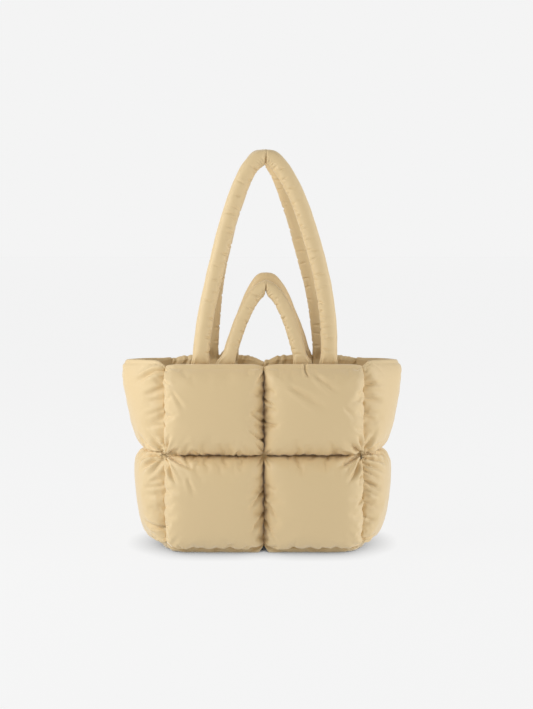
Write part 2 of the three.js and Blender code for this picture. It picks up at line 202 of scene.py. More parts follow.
def wing_reach(side, t, q):
    """How far a wing stands out past the corner seams, with q from -1 at one of them to 1 at the other."""
    return WING_REACH * at_height(side, t) * (1 - abs(q) ** at_height("fold", t))


def wall_skin(wall, s, t):
    """A point of the seam skin of one wall, with s from -1 to 1 across it as seen from outside."""
    if wall == "front":
        return Vector((MIDDLE_X + BODY_WIDTH / 2 * s, -half_depth(t), seam_height(t)))
    if wall == "back":
        return Vector((MIDDLE_X - BODY_WIDTH / 2 * s, half_depth(t), seam_height(t)))
    if wall == "right":
        return Vector((MIDDLE_X + BODY_WIDTH / 2 + wing_reach("right", t, s), half_depth(t) * s, seam_height(t)))
    return Vector((MIDDLE_X - BODY_WIDTH / 2 - wing_reach("left", t, s), -half_depth(t) * s, seam_height(t)))


def wall_facing(wall, s, t):
    """The way that a wall's cushions face there. Two walls share it along a corner seam."""
    aside = math.copysign(s**4, s)
    onward = 1 + s**4 * ((CORNER_WAY.y if wall in ("front", "back") else CORNER_WAY.x) - 1)
    down = -FOOT_TURN * max(0, 1 - t) ** FOOT_TURN_POWER
    if wall == "front":
        way = Vector((aside * CORNER_WAY.x, -onward, down))
    elif wall == "back":
        way = Vector((-aside * CORNER_WAY.x, onward, down))
    elif wall == "right":
        way = Vector((onward, aside * CORNER_WAY.y, down))
    else:
        way = Vector((-onward, -aside * CORNER_WAY.y, down))
    return way.normalized()


PUFF_STEEPNESS = 1.9  # how steeply a cushion stands up beside its seams


def swell(q, fullness):
    """From 1 in the middle of a cushion to 0 at its seams. The higher the fullness, the wider its flat middle."""
    return (1 - min(abs(q), 1) ** fullness) ** (1 / PUFF_STEEPNESS)


def fade(value, start, end):
    """Turns smoothly from 0 at start to 1 at end."""
    share = min(max((value - start) / (end - start), 0), 1)
    return share * share * (3 - 2 * share)


def pinch_at(pinches, a, b):
    """How much of the puff is left at a place near the corners where the quilting pulls a cushion in."""
    left = 1
    for corner_a, corner_b, reach, share in pinches:
        away = ((a - corner_a) ** 2 + (b - corner_b) ** 2) / reach**2
        left *= 1 - share * math.exp(-away)
    return left


WING_LIFT = 6.5 * MM  # of a wing's rim beside its front edge
FRONT_NOTCH = 1.5 * MM  # in the rim at the front's centre seam
BACK_NOTCH = 7 * MM  # and at the back's, where the cloth sags
BACK_SAG = 3 * MM  # of the back rim towards the wings
BACK_PLEATS = 1.8 * MM


def rim_rise(wall, s):
    """How far a wall's rim stands up or sags: up beside the wings' front edges, down at the centre seams."""
    if wall in ("left", "right"):
        forward = s if wall == "left" else -s
        return WING_LIFT * forward * (1 - fade(abs(s), 0.84, 1)) * (1 if forward > 0 else 0.3)
    if wall == "front":
        return -FRONT_NOTCH * math.exp(-((s / 0.05) ** 2))
    pleats = BACK_PLEATS * noise.noise(Vector((s * 17, 3, 7)))
    return pleats - BACK_NOTCH * math.exp(-((s / 0.12) ** 2)) - BACK_SAG * fade(abs(s), 0.75, 1)


def wall_place(wall, columns, row, shape, pinches):
    """The function that puts a point of a flat blank on the bag: a across and b up it, both from -1 to 1, and out from
    -1 on the inner panel to 1 on the outer one."""
    bottom, top = ROWS[row]
    at_rim = row == "upper"
    hem_share = 2 * HEM_BAND / (seam_height(top) - seam_height(bottom))

    def place(a, b, out):
        s = columns[0] + (columns[1] - columns[0]) * (a + 1) / 2
        t = bottom + (top - bottom) * (b + 1) / 2
        across, up = swell(a, shape["full"]), swell(b, shape["full"])
        if at_rim and b > 0:
            up = shape["rim"] + (1 - shape["rim"]) * up
        puff = shape["out"] * across * up * pinch_at(pinches, a, b)
        below_hem = min(2 * (b + 1) / (2 - hem_share) - 1, 1) if at_rim else b
        lining = shape["in"] * across * swell(below_hem, shape["full"])
        offset = out * SEAM_THICKNESS / 2 + (1 + out) / 2 * puff - (1 - out) / 2 * lining
        if out > 0:
            broad = noise.noise(Vector((s * 7 + 3, t * 12, len(wall))))
            uneven = broad + 0.5 * noise.noise(Vector((s * 19, t * 31, 5)))
            offset += uneven * MM * min(1, 3 * across * up)
        point = wall_skin(wall, s, t) + wall_facing(wall, s, t) * offset
        if at_rim:
            point.z += RIM_ROLL * (0.3 + 0.7 * across) * (1 - out**4) * (b > 0.999)
            point.z += rim_rise(wall, s) * fade(b, 0.2, 1)
        point.z = max(point.z, shape["floor"] * FOOT_HEIGHT)
        return point

    return place


def cushion_blank(name, cells, edge_cuts, place):
    """A closed cushion from two square panels that are joined at their edges, with each point then put in place. Its
    points keep their place in the blank, which the stuffing and the cloth's slack go by."""
    shape = bmesh.new()
    bmesh.ops.create_grid(shape, x_segments=cells[0], y_segments=cells[1], size=1)
    for v in shape.verts:
        v.co.z = 1
    inner_panel = bmesh.ops.duplicate(shape, geom=shape.verts[:] + shape.edges[:] + shape.faces[:])["geom"]
    for v in inner_panel:
        if isinstance(v, bmesh.types.BMVert):
            v.co.z = -1
    bmesh.ops.bridge_loops(shape, edges=[e for e in shape.edges if e.is_boundary])
    joins = [e for e in shape.edges if abs(e.verts[0].co.z - e.verts[1].co.z) > 1]
    bmesh.ops.subdivide_edges(shape, edges=joins, cuts=edge_cuts, use_grid_fill=True)
    across = shape.verts.layers.float.new("across")
    up = shape.verts.layers.float.new("up")
    out = shape.verts.layers.float.new("out")
    for v in shape.verts:
        v[across] = math.sin(v.co.x * math.pi / 2)  # finer cells near the seams, where the cloth puckers
        v[up] = math.sin(v.co.y * math.pi / 2)
        v[out] = v.co.z
        v.co = place(v[across], v[up], v[out])
    bmesh.ops.recalc_face_normals(shape, faces=shape.faces)
    if shape.calc_volume(signed=True) < 0:
        bmesh.ops.reverse_faces(shape, faces=shape.faces)
    mesh = bpy.data.meshes.new(name)
    shape.to_mesh(mesh)
    shape.free()
    mesh.shade_smooth()
    piece = bpy.data.objects.new(name, mesh)
    scene.collection.objects.link(piece)
    return piece


def blank_places(mesh):
    """Each point's place in the blank, across, up and out."""
    return list(zip(*([entry.value for entry in mesh.attributes[n].data] for n in ("across", "up", "out"))))


PRESSURE = 150  # of the stuffing
SEWN_EDGE = 0.9995  # from here out, a place in the blank is on a seam
RIM_HOLD = 0.9  # how firmly the rim's edge keeps its place, where 1 is sewn
LINING_HOLD = 0.3
MIDDLE_HOLD = 0.15
STUFFING_FRAMES = 25
cushions = []


def prepare_stuffing(piece, seams, slack, at_rim=False, folds=()):
    """Gets a blank ready to be stuffed: its seams and hem band are held, and its outer cloth has slack near the seams,
    most of all around the waist's corners. The folds are pressed in after the stuffing."""
    hold = piece.vertex_groups.new(name="hold")
    taut = piece.vertex_groups.new(name="taut")
    hem = 1 - 2 * HEM_BAND / (BODY_HEIGHT / 2)
    waist = -1 if at_rim else 1
    for i, (a, b, out) in enumerate(blank_places(piece.data)):
        at_seam = abs(a) > SEWN_EDGE or b < -SEWN_EDGE or (b > SEWN_EDGE and not at_rim)
        in_hem = at_rim and out < 0 and b > hem
        if at_seam or in_hem:
            held = 1.0
        elif at_rim and b > SEWN_EDGE:
            held = RIM_HOLD
        elif out < 0:
            held = LINING_HOLD
        else:
            held = MIDDLE_HOLD * fade(min(1 - abs(a), 1 - abs(b)), 0.02, 0.5)
        hold.add([i], held, "REPLACE")
        from_edge = min(1 - abs(a), 1 + b if at_rim else 1 - abs(b))
        middle = fade(from_edge, 0.02, 0.35) * fade(math.hypot(1 - abs(a), 1 - b * waist), 0.2, 0.8)
        taut.add([i], middle if out > 0 else 1.0, "REPLACE")
    cloth = piece.modifiers.new("stuffing", "CLOTH")
    settings = cloth.settings
    settings.quality = 5
    settings.mass = 0.01
    settings.tension_stiffness = settings.compression_stiffness = 15
    settings.shear_stiffness = 5
    settings.bending_stiffness = 0.4
    settings.air_damping = 2
    settings.vertex_group_mass = "hold"
    settings.pin_stiffness = 1
    settings.vertex_group_shrink = "taut"
    settings.shrink_max = 0.0
    settings.shrink_min = -slack
    settings.use_pressure = True
    settings.uniform_pressure_force = PRESSURE
    settings.effector_weights.gravity = 0
    cloth.collision_settings.use_collision = False
    cloth.point_cache.frame_start = 1
    cloth.point_cache.frame_end = STUFFING_FRAMES
    cushions.append((piece, seams, folds))


# A seam is a function of a point. It gives how far the point is past the seam surface between two neighbours, and the
# way past it. front is 1 for the front and -1 for the back, and right is 1 for the right and -1 for the left.
def corner_seam(front, right):
    """The upright seam surface between a front or back cushion and a gusset: above 0 on the gusset's side."""

    def side(point):
        t = min(max((point.z - FOOT_HEIGHT) / BODY_HEIGHT, 0), 1)
        x = (point.x - MIDDLE_X) * right - BODY_WIDTH / 2
        y = point.y * front + half_depth(t)
        return x * CORNER_WAY.y + y * CORNER_WAY.x, Vector((CORNER_WAY.y * right, CORNER_WAY.x * front, 0))

    return side


def centre_seam(right):
    """The plane through the centre seams: above 0 past it, for a cushion on the given side."""
    return lambda point: ((MIDDLE_X - point.x) * right, Vector((-right, 0, 0)))


def waist_seam(upper):
    """The level plane through the waist seams: above 0 past it, for a cushion above (1) or below (-1) it."""
    height = seam_height(0.5)
    return lambda point: ((height - point.z) * upper, Vector((0, 0, -upper)))


def foot_seam(front):
    """The sloping seam surface between a front or back cushion and the base: above 0 on the base's side."""

    def side(point):
        y = point.y * front + half_depth(0)
        return y * FOOT_WAY.x - (point.z - FOOT_HEIGHT) * FOOT_WAY.y, Vector((0, FOOT_WAY.x * front, -FOOT_WAY.y))

    return side


NYLON_BEIGE = "DCC395"
CRUMPLE_SPAN = 22.2 * MM  # from one soft crumple of the stuffed cloth to the next
DRAG_SPAN = 10.5 * MM  # between the fine lines that the pull of the seams draws across it


def nylon_taffeta(name):
    """Nylon taffeta, finely woven and calendered: a matt beige with a faint silky sheen where it turns away. Its
    threads are too fine to show, so what is drawn is how the cloth crumples over its stuffing."""
    material = bpy.data.materials.new(name)
    material.use_nodes = True
    shader = material.node_tree.nodes["Principled BSDF"]
    shader.inputs["Base Color"].default_value = linear(NYLON_BEIGE)
    shader.inputs["Roughness"].default_value = 0.54
    shader.inputs["Sheen Weight"].default_value = 0.4
    shader.inputs["Sheen Roughness"].default_value = 0.4
    place = add_node(material, "ShaderNodeTexCoord").outputs["Object"]
    crumples = add_node(
        material, "ShaderNodeTexNoise", {"Scale": 1 / CRUMPLE_SPAN, "Detail": 3.0, "Roughness": 0.55}, {"Vector": place}
    )
    crumpled = add_node(
        material, "ShaderNodeBump", {"Strength": 0.4, "Distance": 1.5 * MM}, {"Height": crumples.outputs[0]}
    )
    slanted = add_node(
        material,
        "ShaderNodeMapping",
        {"Rotation": (0, math.radians(38), math.radians(20)), "Scale": (0.22, 0.6, 1.0)},
        {"Vector": place},
    )
    drag_lines = add_node(
        material,
        "ShaderNodeTexNoise",
        {"Scale": 1 / DRAG_SPAN, "Detail": 2.0, "Roughness": 0.5},
        {"Vector": slanted.outputs[0]},
    )
    dragged = add_node(
        material,
        "ShaderNodeBump",
        {"Strength": 0.3, "Distance": 1.2 * MM},
        {"Height": drag_lines.outputs[0], "Normal": crumpled.outputs["Normal"]},
    )
    material.node_tree.links.new(dragged.outputs["Normal"], shader.inputs["Normal"])
    return material


shell_nylon = nylon_taffeta("beige_nylon_taffeta_calendered_shell")

# How far a cushion puffs out and in, the fullness of its swell, the share of its puff that stands at the rim, and the
# share of the foot seam's height that it keeps from the floor.
WALL_SHAPE = {"out": 31 * MM, "in": 7 * MM, "full": 6.5, "rim": 0.34, "floor": 0.46}
# The folds that run in from the seams: from and to, across and up from a cushion's middle, then width and depth, in mm.
FRONT_FOLDS = {
    "upper_left": [
        (-71, -64, -42, -48, 2.4, 2.6), (-71, -64, -56, -28, 2.2, 2.2), (-71, -64, -44, -58, 1.9, 2.2),
        (69, -56, 58, -38, 2.0, 1.2), (71, -42, 44, -16, 2.6, 1.5), (71, -14, 52, 6, 2.4, 1.6),
        (71, 60, 58, 38, 2.2, 1.4), (-52, 30, -34, 0, 3.2, 0.7), (-71, 50, -52, 40, 2.0, 0.9),
        (-20, -64, -30, -52, 2.4, 1.0), (30, -64, 40, -50, 2.2, 1.1),
    ],
    "upper_right": [
        (71, -64, 44, -40, 2.5, 3.2), (71, -64, 57, -28, 2.2, 2.8), (71, -64, 30, -54, 2.0, 2.4),
        (-30, 38, 26, 4, 5.0, 1.3), (4, 56, 42, 24, 4.4, 1.2), (40, 10, 58, -12, 3.2, 0.7),
        (-13, 66, -6, 52, 2.0, 1.2), (-71, 20, -54, 10, 2.0, 1.7), (-71, -14, -52, -20, 2.2, 1.2),
        (-69, -61, -58, -48, 2.0, 0.8),
    ],
    "lower_left": [
        (-71, 64, -46, 22, 2.4, 2.8), (-71, 64, -22, 48, 2.4, 2.3), (-71, 64, -62, 30, 2.0, 2.2),
        (-34, 34, -24, 8, 3.2, 0.7), (71, 12, 48, -10, 2.6, 1.7), (71, -18, 50, -38, 2.6, 1.6),
        (6, -58, 36, -42, 2.4, 1.0), (69, 61, 58, 48, 2.0, 0.8), (36, -58, 56, -46, 2.2, 0.9),
        (-42, -57, -52, -46, 2.0, 0.7),
    ],
    "lower_right": [
        (71, 64, 42, 24, 2.5, 3.0), (71, 64, 60, 20, 2.2, 2.4), (71, 64, 26, 50, 2.2, 2.2),
        (71, 4, 54, -4, 2.2, 1.4), (-69, 61, -58, 46, 2.0, 0.8), (-71, 2, -48, -24, 2.4, 1.5),
        (-71, -28, -50, -46, 2.4, 1.2), (16, -62, 10, -48, 2.0, 0.8), (-70, -58, -44, -48, 2.0, 1.3),
        (71, -58, 52, -48, 2.0, 1.1), (40, -60, 50, -50, 2.0, 0.7),
    ],
}
COLUMNS = {"left": (-1, 0), "right": (0, 1)}
SIDES = (("left", -1), ("right", 1))


def waist_pinches(row, outer):
    """A wall cushion's pinched corners: strongly at the waist's outer end, less at its middle and at the other two."""
    waist = -1 if row == "upper" else 1
    return [
        (outer, waist, 0.34, 0.7),
        (-outer, waist, 0.12, 0.4),
        (outer, -waist, 0.16, 0.4),
        (-outer, -waist, 0.1, 0.2),
    ]


for row in ROWS:
    for side, right in SIDES:
        name = f"front_{row}_{side}_cushion"
        place = wall_place("front", COLUMNS[side], row, WALL_SHAPE, waist_pinches(row, outer=right))
        cushion = cushion_blank(f"{name}_nylon", (52, 50), 3, place)
        cushion.data.materials.append(shell_nylon)
        seams = [corner_seam(1, right), centre_seam(right), waist_seam(1 if row == "upper" else -1)]
        if row == "lower":
            seams.append(foot_seam(1))
        prepare_stuffing(cushion, seams, 0.085, at_rim=row == "upper", folds=FRONT_FOLDS[f"{row}_{side}"])
        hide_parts(name)

# The back wall: the same four stuffed squares of nylon taffeta, sewn to each other and to the gussets like the front's.
# Left and right stay the bag's own, as seen from the front.
for row in ROWS:
    for side, right in SIDES:
        name = f"back_{row}_{side}_cushion"
        columns = COLUMNS["right" if side == "left" else "left"]
        place = wall_place("back", columns, row, WALL_SHAPE, waist_pinches(row, outer=-right))
        cushion = cushion_blank(f"{name}_nylon", (44, 42), 3, place)
        cushion.data.materials.append(shell_nylon)
        seams = [corner_seam(-1, right), centre_seam(right), waist_seam(1 if row == "upper" else -1)]
        if row == "lower":
            seams.append(foot_seam(-1))
        prepare_stuffing(cushion, seams, 0.1, at_rim=row == "upper")
        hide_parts(name)

# The side gussets: two cushions of the same nylon on each side, one over the other, sewn in along the corner seams. The
# upper one folds outwards and stands out at the rim as a wing, and the lower one is a round belly.
WING_SHAPE = {"out": 16 * MM, "in": 15 * MM, "full": 2.6, "rim": 0.28, "floor": 0.5}
BELLY_SHAPE = {"out": 22 * MM, "in": 7 * MM, "full": 3.2, "rim": 0, "floor": 0.36}
# As the front's folds, seen from the gusset's outside: the front edge is at the right of the left gusset and at the
# left of the right one.
GUSSET_FOLDS = {
    "upper_left": [
        (70, -64, 34, -40, 3.0, 2.6), (70, -64, 52, -26, 2.8, 2.2), (70, -64, 22, -56, 2.4, 2.2),
        (70, 60, 38, 34, 3.0, 2.2), (70, 4, 50, -12, 2.6, 0.9), (70, 36, 52, 18, 2.6, 1.0),
    ],
    "upper_right": [
        (-70, -64, -44, -44, 2.4, 2.4), (-70, -64, -56, -24, 2.4, 2.2), (-70, -64, -28, -56, 2.2, 2.2),
        (-70, 0, -54, -4, 2.2, 1.4), (-70, 20, -52, 14, 2.4, 1.4), (-70, 40, -50, 36, 2.4, 1.4),
    ],
    "lower_left": [
        (70, 64, 30, 52, 2.6, 3.0), (70, 64, 40, 34, 3.0, 3.0), (70, 64, 54, 24, 2.6, 2.4),
        (70, 20, 48, 12, 2.6, 1.4), (70, -40, 44, -28, 3.0, 2.6), (70, -64, 44, -50, 2.6, 2.0),
    ],
    "lower_right": [
        (-70, 64, -24, 60, 2.0, 2.8), (-70, 60, -34, 46, 2.0, 2.8), (-70, 52, -42, 34, 2.0, 2.4),
        (-70, 42, -48, 22, 2.0, 2.0), (-70, 28, -50, 10, 2.0, 1.8), (-70, 14, -52, 0, 2.0, 1.6),
        (-70, -4, -54, -14, 2.0, 1.4), (-70, -24, -54, -32, 2.2, 1.4), (-70, -56, -48, -46, 2.4, 2.0),
    ],
}


def other_side(seam):
    """The same seam surface for the neighbour's cushion: above 0 where the first one's is below."""

    def side(point):
        distance, way = seam(point)
        return -distance, -way

    return side


for row in ROWS:
    for side, right in SIDES:
        name = f"{side}_gusset_{row}_cushion"
        shape = WING_SHAPE if row == "upper" else BELLY_SHAPE
        waist = -1 if row == "upper" else 1
        place = wall_place(side, (-1, 1), row, shape, [(-1, waist, 0.5, 0.5), (1, waist, 0.5, 0.5)])
        cushion = cushion_blank(f"{name}_nylon", (60, 48), 3, place)
        cushion.data.materials.append(shell_nylon)
        seams = [other_side(corner_seam(1, right)), other_side(corner_seam(-1, right)), waist_seam(-waist)]
        prepare_stuffing(cushion, seams, 0.1, at_rim=row == "upper", folds=GUSSET_FOLDS[f"{row}_{side}"])
        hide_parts(name)

# The base: two flatter cushions of the same nylon, sewn in at the foot seam and to each other along the middle. The
# bag's weight presses them flat on the floor, so that they stand out under the front and the back.
BASE_SHAPE = {"out": 24 * MM, "in": 7 * MM, "full": 3.0}
BASE_CENTRE_FULL = 18.0  # the fullness towards the seam between the two
BASE_LIP = 12 * MM  # how far the base stands out under the front and back cushions


def base_place(columns):
    """As wall_place, for a base cushion: b goes from -1 at the back's foot seam to 1 at the front's."""

    def place(a, b, out):
        s = columns[0] + (columns[1] - columns[0]) * (a + 1) / 2
        half_width = BODY_WIDTH / 2 + wing_reach("left" if s < 0 else "right", 0, b)
        point = Vector((MIDDLE_X + s * half_width, -half_depth(0) * b, FOOT_HEIGHT))
        x = math.copysign(s**4, s) * (1 + b**4 * (CORNER_WAY.x - 1))
        y = -math.copysign(b**4, b) * (1 + s**4 * (CORNER_WAY.y - 1))
        way = Vector((x, y, -FOOT_TURN)).normalized()
        to_centre = a if columns[1] == 0 else -a
        middle = swell(a, BASE_CENTRE_FULL if to_centre > 0 else BASE_SHAPE["full"]) * swell(b, BASE_SHAPE["full"])
        offset = out * SEAM_THICKNESS / 2 + middle * (BASE_SHAPE["out"] if out > 0 else -BASE_SHAPE["in"])
        point += way * offset
        if out > 0:
            lip = math.copysign(BASE_LIP, b) * swell(2 * (1 - abs(b)) - 1, 4)
            point.y -= lip * fade(abs(b), 0.6, 0.9) * swell(s, 12)
        point.z = max(point.z, 0)
        return point

    return place


base_nylon = nylon_taffeta("beige_nylon_taffeta_calendered_base")
for side, right in SIDES:
    name = f"base_{side}_cushion"
    cushion = cushion_blank(f"{name}_nylon", (40, 40), 1, base_place(COLUMNS[side]))
    cushion.data.materials.append(base_nylon)
    seams = [centre_seam(right), other_side(foot_seam(1)), other_side(foot_seam(-1))]
    prepare_stuffing(cushion, seams, 0.04)
    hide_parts(name)

# The stuffing of all the cushions above: light wadding, which blows the nylon up between the sewn seams. Neighbours
# then press on each other and on the floor, and the folds are drawn in where the seams pull the cloth.
CLOTH_TRAVEL = 14 * MM  # the furthest that the stuffing pushes the cloth
SEAM_CLEARANCE = 0.12 * MM  # between a cushion and the seam surface of its neighbour
PRESS_SOFTNESS = 0.4 * MM
FOLD_GAIN = 2.0  # how much deeper the folds are drawn than in the tables, because the smooth shape hides half of them
FINE_FOLD = 3  # mm: a fold under this width is a crease with a sharp valley
RIDGE_PLACE = 1.9  # of the ridges beside a valley, in widths
BACK_RUCKS = 2.6  # mm: the height of the gathers on the inside of the back rim


def press(depth, softness):
    """How far a point is pushed back that stands depth past a surface, turning softly from nothing."""
    if depth < -6 * softness:
        return 0
    if depth > 6 * softness:
        return depth
    return softness * math.log(1 + math.exp(depth / softness))


def fold_height(folds, x, y):
    """How far a cushion's folds lift or sink its cloth, in mm, at a place in mm from the cushion's middle. A fold is a
    valley from one place to another, with a ridge on both sides, deepest near where it starts at the seam."""
    height = 0
    for x0, y0, x1, y1, width, depth in folds:
        run = Vector((x1 - x0, y1 - y0))
        here = Vector((x - x0, y - y0))
        along = here.dot(run) / run.length_squared
        if not -0.2 < along < 1:
            continue
        beside = (here.x * run.y - here.y * run.x) / run.length / (width * (0.7 + 0.6 * max(along, 0)))
        if abs(beside) > 4:
            continue
        strength = fade(along, -0.2, 0.1) * (1 - fade(along, 0.4, 1))
        valley = math.exp(-abs(beside) ** (1.3 if width < FINE_FOLD else 2))
        ridge = 0.55 * math.exp(-((beside - RIDGE_PLACE) ** 2)) + 0.35 * math.exp(-((beside + RIDGE_PLACE) ** 2))
        height += FOLD_GAIN * depth * strength * (ridge - valley)
    return height


for step in range(1, STUFFING_FRAMES + 1):
    scene.frame_set(step)
view_now = bpy.context.evaluated_depsgraph_get()
settled = [[v.co.copy() for v in piece.evaluated_get(view_now).data.vertices] for piece, seams, folds in cushions]
for (piece, seams, folds), found in zip(cushions, settled):
    piece.modifiers.clear()
    for v, (across, up, out), now in zip(piece.data.vertices, blank_places(piece.data), found):
        if max(abs(across), -up) > SEWN_EDGE:
            continue
        travel = now - v.co
        if travel.length > CLOTH_TRAVEL:
            travel *= CLOTH_TRAVEL / travel.length
        point = v.co + travel
        for seam in seams:
            depth, way = seam(point)
            point -= way * press(depth + SEAM_CLEARANCE, PRESS_SOFTNESS)
        point.z = max(point.z, 0)
        v.co = point
    smooth = piece.modifiers.new("smooth", "SUBSURF")
    smooth.levels = smooth.render_levels = 2 if piece.name.startswith("front") else 1
bpy.context.view_layer.update()
view_now = bpy.context.evaluated_depsgraph_get()
half_width, half_height = BODY_WIDTH / 4 / MM, BODY_HEIGHT / 4 / MM
for piece, seams, folds in cushions:
    finer = bpy.data.meshes.new_from_object(piece.evaluated_get(view_now))
    piece.modifiers.clear()
    piece.data = finer
    finer.name = piece.name
    ways = [v.normal.copy() for v in finer.vertices]
    for v, way, (a, b, out) in zip(finer.vertices, ways, blank_places(finer)):
        lift = fold_height(folds, a * half_width, b * half_height) if out > 0 else 0
        if piece.name.startswith("back_upper") and out < 0.9:
            lift += BACK_RUCKS * noise.noise(Vector((a * 13 + b * 6, b * 2, 3))) * fade(b, 0.6, 0.9)
        v.co += way * lift * MM
        v.co.z = max(v.co.z, 0)
    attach(piece, "root")


# The long straps: two padded nylon tubes that stand up in a tall arch, each folded sharply at its peak and sewn flat
# to the hem band inside the rim. The padding keeps them round, with short creases across where they bend.
STRAP_SIDES = 48
TAB_DEPTH = 20 * MM  # the flat end that is sewn on
TAB_THICKNESS = 7 * MM
TAB_FACE = 7.5 * MM  # from the wall's seam skin to the middle of a tab
TAB_SQUARENESS = 5  # the power of its outline, which is 2 for a round tube
TAB_GATHERS = 0.8 * MM  # the height of the gathers where the tube starts
DENTS = 0.45 * MM  # the unevenness of the padding
CREASE_START = 42 * MM  # from a strap's end to its first crease
CREASE_WIDTH = 1.4 * MM
CREASE_SPAN = 9 * MM  # further off, a crease doesn't show
PEAK_CLEAR = 18 * MM  # here only the peak's own creases show
# The creases that fan out from the fold at the peak: how far from it, how deep and how slanted, in mm.
PEAK_CREASES = [(4.5, 1.4, -5), (9, 1.2, -6), (14, 0.9, -5), (-5.5, 1.4, 5), (-10, 1.1, 6), (-16, 0.9, 4)]
CREASE_STEPS = (0.618, 0.7549, 0.5698, 0.8192, 0.4142)  # whose multiples spread the creases evenly but unalike


def smooth_line(points, steps):
    """Evenly spaced points on a smooth curve through the given ones, with their ways and places along it, and its
    length. The curve is a centripetal Catmull-Rom one."""
    fine = []
    padded = [points[0] * 2 - points[1], *points, points[-1] * 2 - points[-2]]
    for p0, p1, p2, p3 in zip(padded, padded[1:], padded[2:], padded[3:]):
        k0 = 0
        k1 = k0 + (p1 - p0).length ** 0.5
        k2 = k1 + (p2 - p1).length ** 0.5
        k3 = k2 + (p3 - p2).length ** 0.5
        for i in range(40):
            k = k1 + (k2 - k1) * i / 40
            a1 = p0 * ((k1 - k) / (k1 - k0)) + p1 * ((k - k0) / (k1 - k0))
            a2 = p1 * ((k2 - k) / (k2 - k1)) + p2 * ((k - k1) / (k2 - k1))
            a3 = p2 * ((k3 - k) / (k3 - k2)) + p3 * ((k - k2) / (k3 - k2))
            b1 = a1 * ((k2 - k) / (k2 - k0)) + a2 * ((k - k0) / (k2 - k0))
            b2 = a2 * ((k3 - k) / (k3 - k1)) + a3 * ((k - k1) / (k3 - k1))
            fine.append(b1 * ((k2 - k) / (k2 - k1)) + b2 * ((k - k1) / (k2 - k1)))
    fine.append(points[-1])
    lengths = [0]
    for p, q in zip(fine, fine[1:]):
        lengths.append(lengths[-1] + (q - p).length)
    spaced, j = [], 0
    for i in range(steps + 1):
        at = lengths[-1] * i / steps
        while j < len(fine) - 2 and lengths[j + 1] < at:
            j += 1
        share = (at - lengths[j]) / (lengths[j + 1] - lengths[j])
        spaced.append((fine[j].lerp(fine[j + 1], share), (fine[j + 1] - fine[j]).normalized(), at))
    return spaced, lengths[-1]


def leg_points(strap, side, back):
    """The middle line of one leg, from the end of its tab to the peak."""
    rim = seam_height(1)

    def hem(t):
        return TAB_FACE - half_depth(t)

    above = [
        Vector((side * strap["spread"] * u + strap["lean"] * w, hem(1) + strap["inset"] * v, rim + strap["rise"] * v))
        for u, v, w in strap["route"]
    ]
    low = 1 - TAB_DEPTH / BODY_HEIGHT
    tab = [
        Vector((above[0].x, hem(low), rim - TAB_DEPTH)),
        Vector((above[0].x, hem((low + 1) / 2), rim - TAB_DEPTH / 2)),
    ]
    points = tab + above
    if back:
        points = [Vector((-p.x, -p.y, p.z)) for p in points]
    return [p + Vector((MIDDLE_X, 0, 0)) for p in points]


def strap_creases(length, back, seed):
    """Creases across a strap: where each is along and round it, how far round it reaches, its depth and its slant."""
    inner, face = (0, 0.5 * math.pi) if back else (math.pi, 1.5 * math.pi)
    creases = [(0, inner + 0.3 * math.pi, 1.15, 5 * MM, 0.6 * MM)]
    for place, depth, slant in PEAK_CREASES:
        creases.append((place * MM, face - 0.5, 0.45, depth * MM, slant * MM))
    k, at = 0, -length + CREASE_START
    while at < length - CREASE_START:
        chance = [(k * step + seed * 0.37) % 1 for step in CREASE_STEPS]
        beside = (0.1 + 1.5 * chance[0]) * (-1 if k % 3 == 2 else 1)
        reach = 0.25 + 0.4 * chance[1]
        depth = (0.9 + 1.7 * chance[2]) * MM
        slant = (chance[3] - 0.5) * 5 * MM
        if abs(at) > PEAK_CLEAR:
            creases.append((at, inner + beside, reach, depth, slant))
        at += (2.5 + 7.5 * chance[4]) * MM
        k += 1
    return creases


